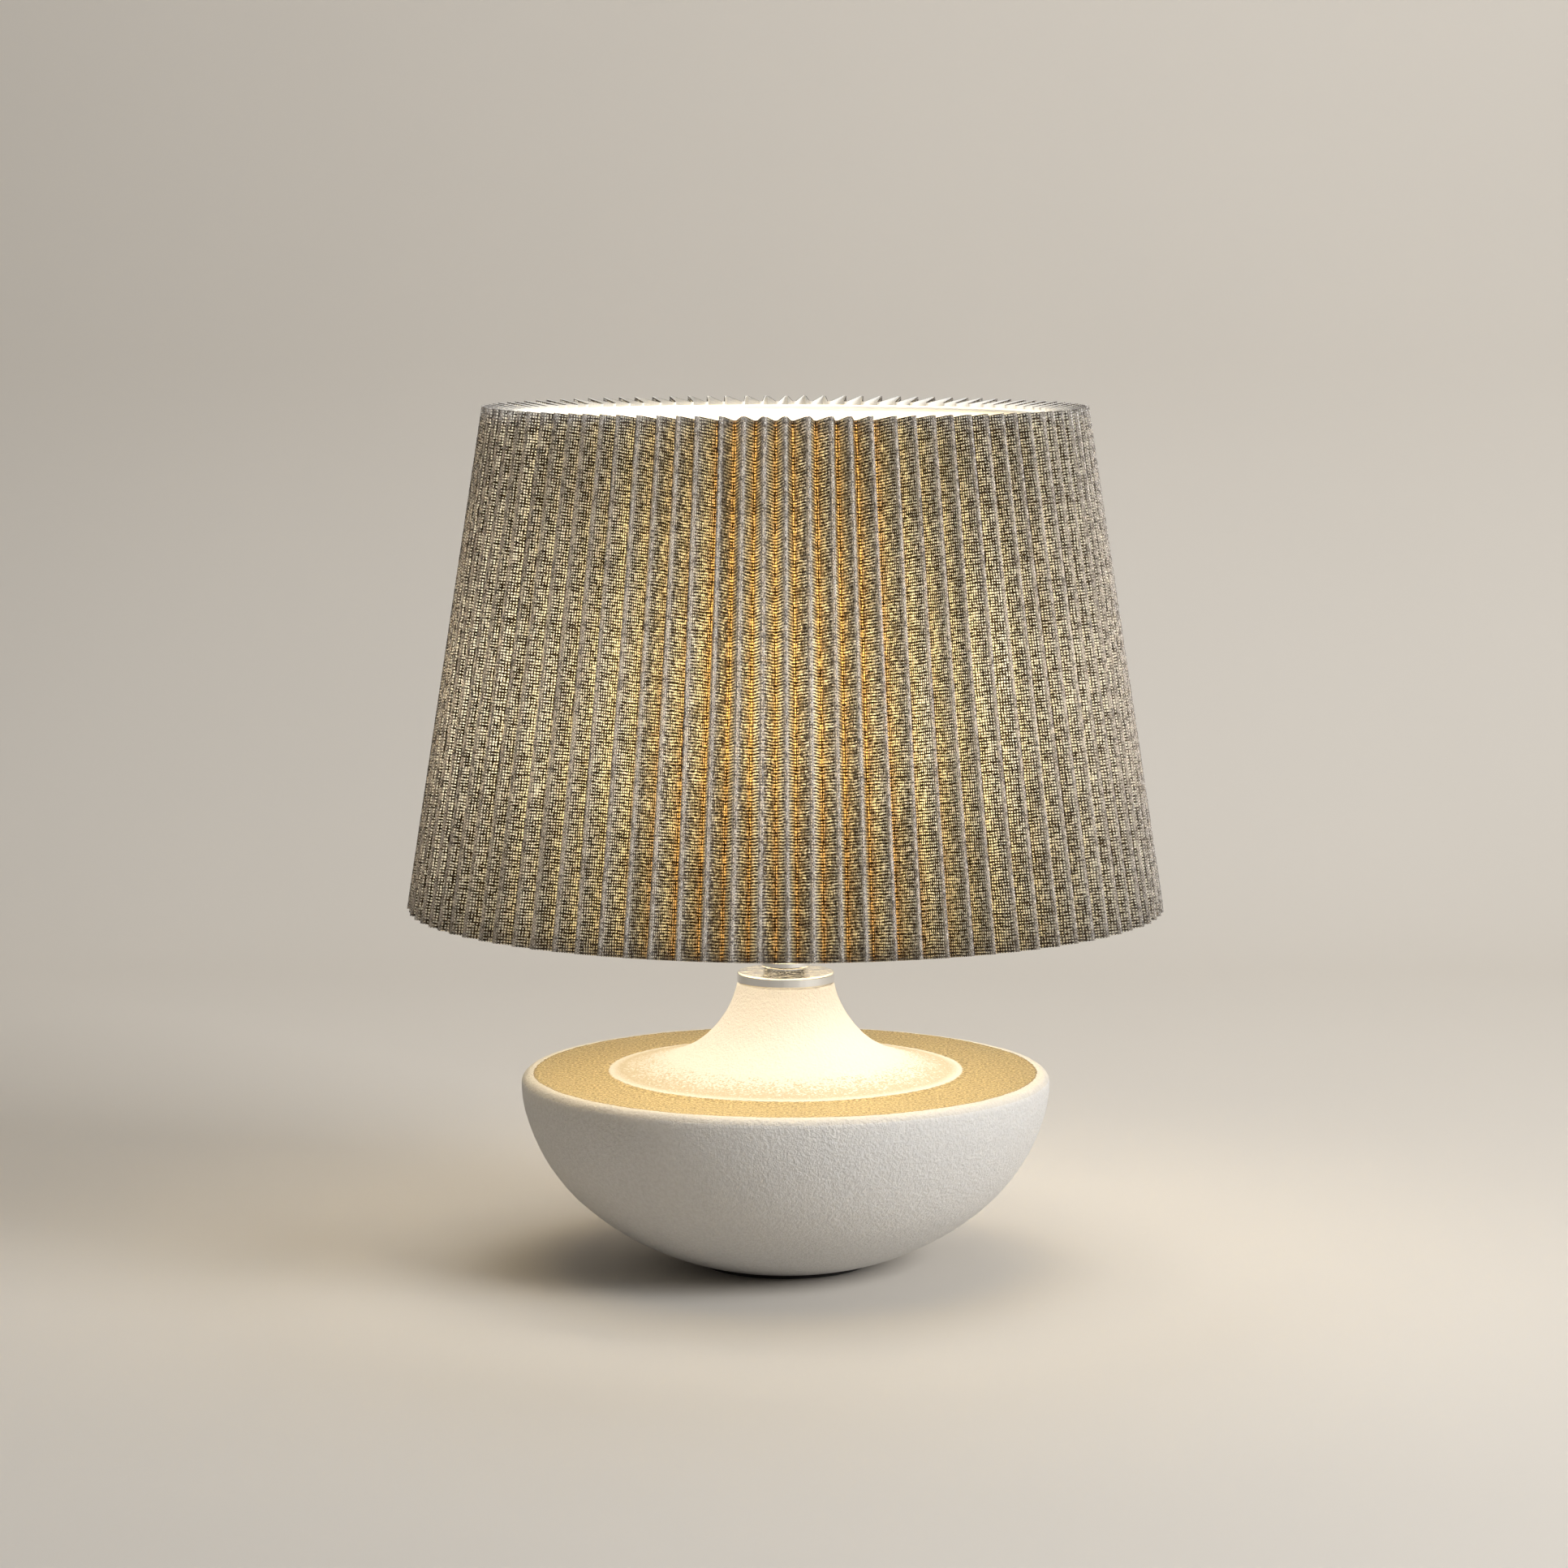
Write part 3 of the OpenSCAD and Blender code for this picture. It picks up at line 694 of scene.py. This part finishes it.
def make_ceramic():
    """The base as one closed skin with a lumpy hand-finished surface and the cable hole cut through."""
    fine = 1.5 * MM
    outer, foot = base_outline(0, PAD_T, fine)
    inner, _ = base_outline(WALL, PAD_T + FLOOR_T, 8 * MM)
    roof = PAD_T + WELL_DEPTH
    under = [
        (WELL_R, PAD_T),
        (WELL_R, roof),
        (TUBE_HOLE_R, roof),
        (TUBE_HOLE_R, roof + WELL_WALL),
        (WELL_R + WELL_WALL, roof + WELL_WALL),
        (WELL_R + WELL_WALL, PAD_T + FLOOR_T),
    ]
    outline = outer + [np.array(p) for p in under] + inner[::-1]
    segments = 640
    verts, faces = lathe(outline, segments)
    piece = mesh_piece("ceramic_skin", verts, faces, sandy_ceramic())
    seat = foot + (FOOT_ARC_R - 0.5 * MM) * falling(CABLE_HOLE_DEG)
    out = falling(CABLE_HOLE_DEG)
    direction = Vector((0, out[0], out[1]))
    start = Vector((0, seat[0], seat[1]))
    turn = direction.to_track_quat("Z", "Y").to_matrix().to_4x4()
    cut = bore_cutter(turn, start)
    hole = piece.modifiers.new("cable_hole", "BOOLEAN")
    hole.object = cut
    hole.solver = "EXACT"
    apply_modifiers(piece)
    bpy.data.objects.remove(cut)
    roughen(piece)
    for polygon in piece.data.polygons:
        polygon.use_smooth = True
    piece.data.update()
    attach(piece, "base")
    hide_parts("ceramic_body")


def bore_cutter(turn, start):
    """The stepped hole for the grommet: its barrel and the flat seat of its flange."""
    outline = [
        (0.0, -3 * WALL),
        (CABLE_BARREL_R, -3 * WALL),
        (CABLE_BARREL_R, 0.0),
        (CABLE_FLANGE_R, 0.0),
        (CABLE_FLANGE_R, WALL),
        (0.0, WALL),
    ]
    segments = 48
    verts = [(0, 0, outline[0][1]), (0, 0, outline[-1][1])]
    for r, z in outline[1:-1]:
        for s in range(segments):
            a = 2 * math.pi * s / segments
            verts.append((r * math.cos(a), r * math.sin(a), z))
    faces = []
    rows = len(outline) - 2
    for s in range(segments):
        t = (s + 1) % segments
        faces.append((0, 2 + t, 2 + s))
        for i in range(rows - 1):
            a, b = 2 + i * segments, 2 + (i + 1) * segments
            faces.append((a + s, a + t, b + t, b + s))
        last = 2 + (rows - 1) * segments
        faces.append((1, last + s, last + t))
    data = bpy.data.meshes.new("bore_cutter")
    data.from_pydata(verts, [], faces)
    cut = bpy.data.objects.new("bore_cutter", data)
    cut.matrix_world = Matrix.Translation(start) @ turn
    bpy.context.scene.collection.objects.link(cut)
    bpy.context.view_layer.update()
    return cut


def apply_modifiers(piece):
    """Replaces a piece's mesh with its evaluated one."""
    bpy.context.view_layer.update()
    graph = bpy.context.evaluated_depsgraph_get()
    made = bpy.data.meshes.new_from_object(piece.evaluated_get(graph))
    piece.modifiers.clear()
    old = piece.data
    piece.data = made
    bpy.data.meshes.remove(old)


def smooth_noise(points, size, seed):
    """A seeded sum of sines over points, about -1 to 1, with features about size across."""
    rng = np.random.default_rng(seed)
    total = np.zeros(len(points))
    waves = 24
    for _ in range(waves):
        direction = rng.normal(size=3)
        direction /= np.linalg.norm(direction)
        wave = 2 * math.pi / (size * rng.uniform(1.4, 3.0))
        total += np.sin(points @ direction * wave + rng.uniform(0, 2 * math.pi))
    return total / math.sqrt(waves / 2)


def roughen(piece):
    """Small lumps on the outer skin only, faded out where other parts touch it."""
    data = piece.data
    co = np.empty(len(data.vertices) * 3)
    data.vertices.foreach_get("co", co)
    co = co.reshape(-1, 3)
    normals = np.empty(len(data.vertices) * 3)
    data.vertices.foreach_get("normal", normals)
    normals = normals.reshape(-1, 3)
    radius = np.hypot(co[:, 0], co[:, 1])
    outwards = (normals[:, 0] * co[:, 0] + normals[:, 1] * co[:, 1]) / np.maximum(radius, 1e-6)
    facing_out = outwards + normals[:, 2] * (co[:, 2] > BASE_WIDE_Z)
    lump = 0.045 * MM * smooth_noise(co, 3.2 * MM, 5) + 0.05 * MM * smooth_noise(co, 14 * MM, 6)
    below_cap = np.clip((NECK_Z - 2 * MM - co[:, 2]) / (6 * MM), 0, 1)
    above_pad = np.clip((co[:, 2] - 3.5 * MM) / (4 * MM), 0, 1)
    fade = below_cap * above_pad
    fade *= facing_out > 0.2
    co += normals * (lump * fade)[:, None]
    data.vertices.foreach_set("co", co.ravel())
    data.update()


# ---------------------------------------------------------------- pleated cover


def fold_corners():
    """The cover's corners as (radius, height), read off the CAD node: tips and valleys, bottom and top."""
    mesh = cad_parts["pleated_cover"].data
    co = np.empty(len(mesh.vertices) * 3)
    mesh.vertices.foreach_get("co", co)
    co = co.reshape(-1, 3)
    rz = np.stack([np.hypot(co[:, 0], co[:, 1]), co[:, 2]], 1)
    close = 0.02 * MM
    tip_bottom = rz[np.argmax(rz[:, 0])]
    highest = rz[rz[:, 1] > rz[:, 1].max() - close]
    tip_top = highest[np.argmax(highest[:, 0])]
    lowest = rz[rz[:, 1] < rz[:, 1].min() + close]
    valley_bottom = lowest[np.argmin(lowest[:, 0])]
    valley_top = rz[np.argmin(rz[:, 0])]
    return tip_bottom, tip_top, valley_bottom, valley_top


def unit_rows(vectors):
    """Each row scaled to length 1."""
    return vectors / np.linalg.norm(vectors, axis=1, keepdims=True)


def pleat_section(share, tips, valleys, jitter):
    """One closed cross-section of the folded cloth at a height, as points in the plane.

    Every fold is a small round bend between two flat faces. Each sharp corner is pushed out by what
    rounding takes off it, so that the bend itself reaches the radius wanted."""
    count = 2 * PLEATS
    face_points = 3
    settling_rounds = 6
    radius, angle = np.empty(count), np.empty(count)
    for k in range(count):
        sideways, shortened = jitter(k, share)
        radius[k] = tips - shortened if k % 2 == 0 else valleys + VALLEY_SHORT_SHARE * shortened
        angle[k] = k * math.pi / PLEATS + sideways / radius[k]
    spokes = np.stack([np.cos(angle), np.sin(angle)], 1)
    sense = np.where(np.arange(count) % 2 == 0, 1.0, -1.0)
    cut_off = np.zeros(count)
    for _ in range(settling_rounds):
        corners = spokes * (radius + sense * cut_off)[:, None]
        back = unit_rows(np.roll(corners, 1, axis=0) - corners)
        ahead = unit_rows(np.roll(corners, -1, axis=0) - corners)
        half = 0.5 * np.arccos(np.clip(np.sum(back * ahead, axis=1), -1, 1))
        cut_off = FOLD_ROUND * (1 / np.sin(half) - 1)
    reach = (FOLD_ROUND / np.tan(half))[:, None]
    starts, ends = corners + back * reach, corners + ahead * reach
    centres = corners + unit_rows(back + ahead) * (FOLD_ROUND / np.sin(half))[:, None]
    points = []
    for k in range(count):
        to_start, to_end = starts[k] - centres[k], ends[k] - centres[k]
        first = math.atan2(to_start[1], to_start[0])
        sweep = (math.atan2(to_end[1], to_end[0]) - first + math.pi) % (2 * math.pi) - math.pi
        for i in range(FOLD_STEPS + 1):
            a = first + sweep * i / FOLD_STEPS
            points.append(centres[k] + FOLD_ROUND * np.array([math.cos(a), math.sin(a)]))
        following = starts[(k + 1) % count]
        for i in range(1, face_points + 1):
            points.append(ends[k] + (following - ends[k]) * i / (face_points + 1))
    return np.array(points)


def make_cover():
    """The folded cloth: the weave outside, its white backing inside, and UVs in metres on the flat cloth.

    The flat length is the level run of the folds at mid-height, about 1 % short of the run along the
    tilted cloth."""
    tip_bottom, tip_top, valley_bottom, valley_top = fold_corners()
    rng = random.Random(7)
    shifts = [
        (rng.gauss(0, 1), rng.gauss(0, 1), rng.gauss(0, 1), rng.uniform(0, 6.28)) for _ in range(2 * PLEATS)
    ]

    def jitter(k, share):
        """How far one fold line strays sideways and stops short, in metres, at a share of its height."""
        lower, upper, deep, phase = shifts[k]
        sway = 0.35 * math.sin(phase + 5.0 * share)
        sideways = (lower * (1 - share) + upper * share + sway) * FOLD_STRAY
        return sideways, abs(deep) * FOLD_SHORT

    rows = 25
    inset = 0.5 * CLOTH_LAYERS_APART
    sections, heights = [], []
    for i in range(rows + 1):
        share = i / rows
        tips = tip_bottom[0] + (tip_top[0] - tip_bottom[0]) * share - inset
        valleys = valley_bottom[0] + (valley_top[0] - valley_bottom[0]) * share + inset + LINER_GAP
        section = pleat_section(share, tips, valleys, jitter)
        radius = np.hypot(section[:, 0], section[:, 1])
        depth = (radius - valleys) / (tips - valleys)
        low = valley_bottom[1] + (tip_bottom[1] - valley_bottom[1]) * depth
        high = valley_top[1] + (tip_top[1] - valley_top[1]) * depth
        sections.append(section)
        heights.append(low + (high - low) * share)
    sections, heights = np.array(sections), np.array(heights)
    columns = sections.shape[1]
    ahead = np.roll(sections, -1, axis=1) - sections
    behind = sections - np.roll(sections, 1, axis=1)
    ahead_length = np.linalg.norm(ahead, axis=2, keepdims=True)
    behind_length = np.linalg.norm(behind, axis=2, keepdims=True)
    along = ahead / ahead_length + behind / behind_length
    along /= np.linalg.norm(along, axis=2, keepdims=True)
    outward = np.stack([along[..., 1], -along[..., 0]], 2)
    middle = rows // 2
    flat_run = np.concatenate([[0], np.cumsum(np.linalg.norm(ahead[middle], axis=1))])
    slant = float(np.hypot(tip_top[0] - tip_bottom[0], tip_top[1] - tip_bottom[1]))

    verts = []
    for side in (0.5, -0.5):
        for i in range(rows + 1):
            shifted = sections[i] + outward[i] * side * CLOTH_LAYERS_APART
            verts.extend((p[0], p[1], z) for p, z in zip(shifted, heights[i]))
    layer = (rows + 1) * columns
    faces, coords = [], []
    for side in (0, 1):
        for i in range(rows):
            below, above = i * columns, (i + 1) * columns
            for c in range(columns):
                d = (c + 1) % columns
                corner = [below + c, below + d, above + d, above + c]
                u0, u1 = float(flat_run[c]), float(flat_run[c + 1])
                v0, v1 = slant * i / rows, slant * (i + 1) / rows
                uv = [(u0, v0), (u1, v0), (u1, v1), (u0, v1)]
                if side:
                    corner, uv = corner[::-1], uv[::-1]
                faces.append([side * layer + v for v in corner])
                coords.extend(uv)
    for row, flip in ((0, True), (rows, False)):
        for c in range(columns):
            d = (c + 1) % columns
            outer_c, outer_d = row * columns + c, row * columns + d
            corner = [outer_c, outer_d, layer + outer_d, layer + outer_c]
            u0, u1 = float(flat_run[c]), float(flat_run[c + 1])
            v = slant * row / rows
            uv = [(u0, v), (u1, v), (u1, v), (u0, v)]
            if flip:
                corner, uv = corner[::-1], uv[::-1]
            faces.append(corner)
            coords.extend(uv)
    piece = mesh_piece("pleated_cloth", verts, faces, open_weave())
    layer_uv = piece.data.uv_layers.new(name="UVMap")
    layer_uv.data.foreach_set("uv", np.array(coords, np.float32).ravel())
    piece.data.materials.append(cloth_backing())
    for index in range(rows * columns, 2 * rows * columns):
        piece.data.polygons[index].material_index = 1
    reach = np.hypot(sections[middle][:, 0], sections[middle][:, 1])
    share_out = (reach - reach.min()) / (reach.max() - reach.min())
    height = piece.data.attributes.new("fold_height", "FLOAT", "POINT")
    height.data.foreach_set("value", np.tile(share_out.astype(np.float32), 2 * (rows + 1)))
    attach(piece, "shade")
    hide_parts("pleated_cover")


# ---------------------------------------------------------------- the scene

make_camera()
make_lights()
make_floor()
make_ceramic()
make_cover()

chrome = bright_metal("chrome", (0.82, 0.80, 0.76), 0.06, ripple=1.0)
smooth_chrome = bright_metal("smooth_chrome", (0.84, 0.82, 0.78), 0.07)
zinc = bright_metal("zinc", (0.62, 0.62, 0.60), 0.38, brushed=0.15)
brass = bright_metal("brass", (0.78, 0.60, 0.28), 0.28, brushed=0.12)
nickel = bright_metal("nickel", (0.72, 0.70, 0.65), 0.22, brushed=0.08)
plastic = moulded("holder_plastic", (0.84, 0.82, 0.77), 0.45)
enamel = moulded("white_enamel", (0.88, 0.87, 0.83), 0.3)
DRESSED = {
    "felt_pad": moulded("felt", (0.07, 0.065, 0.06), 0.95, 0.9),
    "foot_washer": zinc,
    "foot_nut": brass,
    "threaded_tube": zinc,
    "cable_grommet": moulded("black_rubber", (0.03, 0.03, 0.032), 0.6),
    "vase_cap": chrome,
    "neck_ring": smooth_chrome,
    "tube_locknut": brass,
    "holder_cap": chrome,
    "holder_skirt": plastic,
    "holder_core": moulded("porcelain", (0.86, 0.84, 0.79), 0.18),
    "terminal_blocks": brass,
    "terminal_screws": zinc,
    "centre_contact": brass,
    "thread_shell": brass,
    "shade_seat_ring": plastic,
    "shade_lock_ring": plastic,
    "bulb_contact": bright_metal("solder", (0.66, 0.66, 0.64), 0.4),
    "bulb_insulator": moulded("black_glass", (0.02, 0.02, 0.022), 0.15),
    "bulb_cap": nickel,
    "bulb_glass": lit_bulb(),
    "carrier_hub": enamel,
    "carrier_arms": enamel,
    "wire_ring_bottom": enamel,
    "wire_ring_top": enamel,
    "shade_liner": lit_liner(),
}
for name, material in DRESSED.items():
    dress(name, material)

scene = bpy.context.scene
scene.view_settings.view_transform = "Standard"
